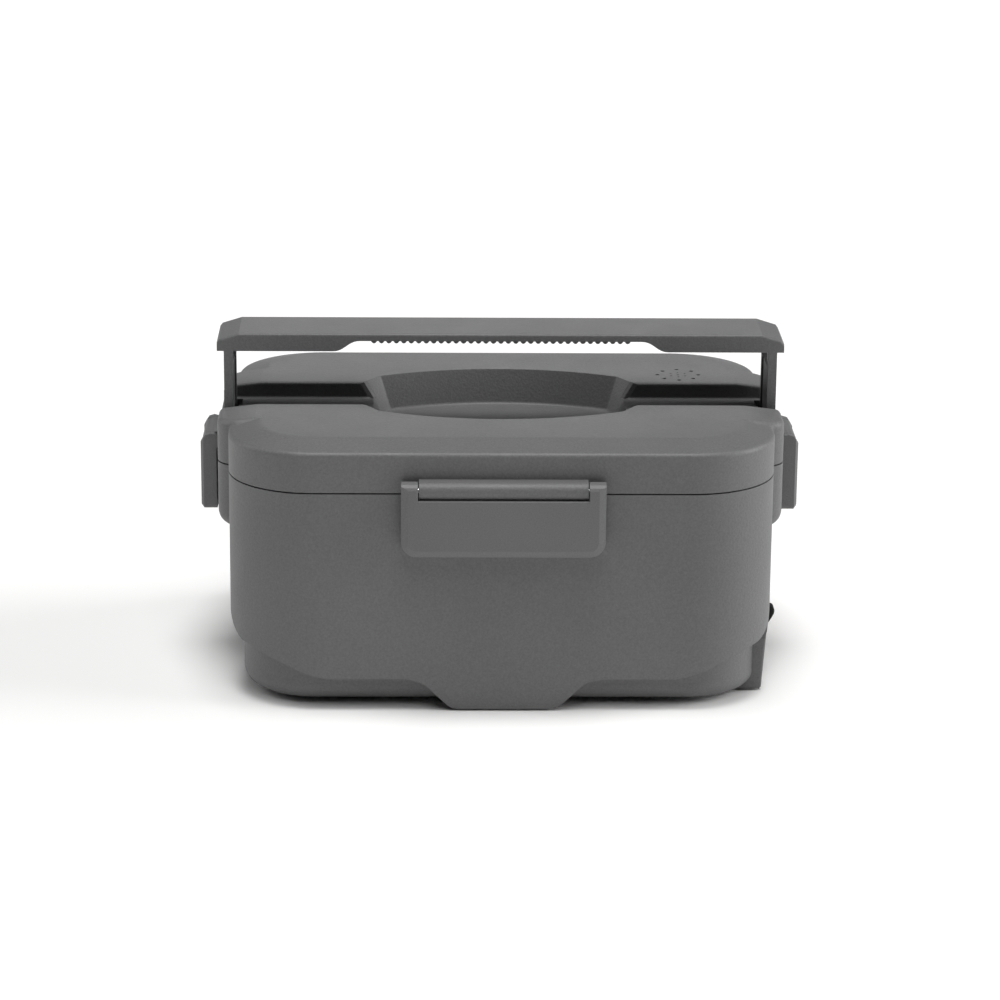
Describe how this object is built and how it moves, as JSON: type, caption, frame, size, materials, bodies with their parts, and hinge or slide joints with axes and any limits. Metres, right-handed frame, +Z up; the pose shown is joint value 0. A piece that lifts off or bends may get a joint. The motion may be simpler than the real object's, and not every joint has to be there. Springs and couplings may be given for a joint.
{
  "type": "electric lunch box",
  "caption": "Electric lunch box with a heated tub, lift-off lid held by clip latches, removable tray and a telescoping carrying handle.",
  "frame": {"origin": "centre of the footprint, on the surface that the rubber feet stand on", "axes": "+Z up; the front, with the wide latch seen in the picture, faces -Y; +X is to the right seen from the front, towards the side with the power inlets"},
  "size_m": [0.2546, 0.1822, 0.1439],
  "materials": {
    "body_plastic": "fine-textured matt dark grey",
    "handle_plastic": "fine-textured matt dark grey",
    "latch_plastic": "fine-textured matt dark grey",
    "black_silicone": "matt silicone",
    "foot_rubber": "matt",
    "liner_plastic": "smooth light grey polypropylene",
    "seal_silicone": "soft translucent-looking silicone",
    "stainless": "drawn, satin",
    "pin_steel": "ground",
    "screw_steel": "zinc plated",
    "plate_aluminium": "die-cast, satin",
    "ptc_ceramic": "ceramic block in grey insulation",
    "mica": "mica sheet",
    "thermostat_body": "plain",
    "board": "green solder mask",
    "board_components": "moulded cases",
    "inlet_plastic": "black nylon",
    "contact_brass": "nickel-plated brass",
    "lead_insulation": "pvc insulation",
    "lens_plastic": "translucent red"
  },
  "bodies": {
    "base": {"tub_housing": "body_plastic", "base_cover": "body_plastic", "rubber_feet": "foot_rubber", "base_screws": "screw_steel", "inner_well": "liner_plastic", "well_gasket": "seal_silicone", "heating_plate": "plate_aluminium", "plate_seal": "seal_silicone", "ptc_heaters": "ptc_ceramic", "insulating_sheet": "mica", "heater_clamp": "stainless", "clamp_screws": "screw_steel", "thermostat": "thermostat_body", "thermal_fuse": "thermostat_body", "control_board": "board", "board_parts": "board_components", "board_screws": "screw_steel", "mains_inlet": "inlet_plastic", "mains_pins": "contact_brass", "dc_socket": "inlet_plastic", "dc_pin": "contact_brass", "indicator_lens": "lens_plastic", "indicator_led": "board_components", "mains_leads": "lead_insulation", "dc_lead": "lead_insulation", "heater_leads": "lead_insulation", "inlet_panel": "body_plastic", "panel_screws": "screw_steel"},
    "lid": {"lid_shell": "body_plastic", "lid_liner": "liner_plastic", "lid_gasket": "seal_silicone", "lid_screws": "screw_steel", "steam_valve": "liner_plastic"},
    "handle": {"handle": "handle_plastic"},
    "front_latch": {"latch_front": "latch_plastic", "pin_front": "pin_steel"},
    "rear_latch": {"latch_rear": "latch_plastic", "pin_rear": "pin_steel"},
    "left_latch": {"latch_left": "latch_plastic", "pin_left": "pin_steel"},
    "right_latch": {"latch_right": "latch_plastic", "pin_right": "pin_steel"},
    "cover": {"inlet_cover": "black_silicone"},
    "tray": {"steel_tray": "stainless"},
    "tray_cover": {"tray_lid": "liner_plastic", "tray_lid_seal": "seal_silicone"}
  },
  "joints": [
    {"name": "lid_lift", "type": "slide", "parent": "base", "child": "lid", "axis": [0, 0, 1], "range_m": [0, 0.12]},
    {"name": "handle_slide", "type": "slide", "parent": "lid", "child": "handle", "axis": [0, 0, 1], "range_m": [-0.029, 0]},
    {"name": "front_latch_hinge", "type": "hinge", "parent": "lid", "child": "front_latch", "pos_m": [0, -0.0868, 0.0964], "axis": [-1, 0, 0], "range_deg": [0, 125]},
    {"name": "rear_latch_hinge", "type": "hinge", "parent": "lid", "child": "rear_latch", "pos_m": [0, 0.0868, 0.0964], "axis": [1, 0, 0], "range_deg": [0, 125]},
    {"name": "left_latch_hinge", "type": "hinge", "parent": "lid", "child": "left_latch", "pos_m": [-0.123, 0, 0.0964], "axis": [0, 1, 0], "range_deg": [0, 125]},
    {"name": "right_latch_hinge", "type": "hinge", "parent": "lid", "child": "right_latch", "pos_m": [0.123, 0, 0.0964], "axis": [0, -1, 0], "range_deg": [0, 125]},
    {"name": "inlet_cover_hinge", "type": "hinge", "parent": "base", "child": "cover", "pos_m": [0.11085, 0.00635, 0.0164], "axis": [0, 0, 1], "range_deg": [0, 105]},
    {"name": "tray_cover_lift", "type": "slide", "parent": "base", "child": "tray_cover", "axis": [0, 0, 1], "range_m": [0, 0.084]},
    {"name": "tray_lift", "type": "slide", "parent": "base", "child": "tray", "axis": [0, 0, 1], "range_m": [0, 0.054]}
  ],
  "couplings": [
    {"joint": "tray_cover_lift", "follows": "lid_lift", "ratio": 0.7},
    {"joint": "tray_lift", "follows": "lid_lift", "ratio": 0.45}
  ]
}
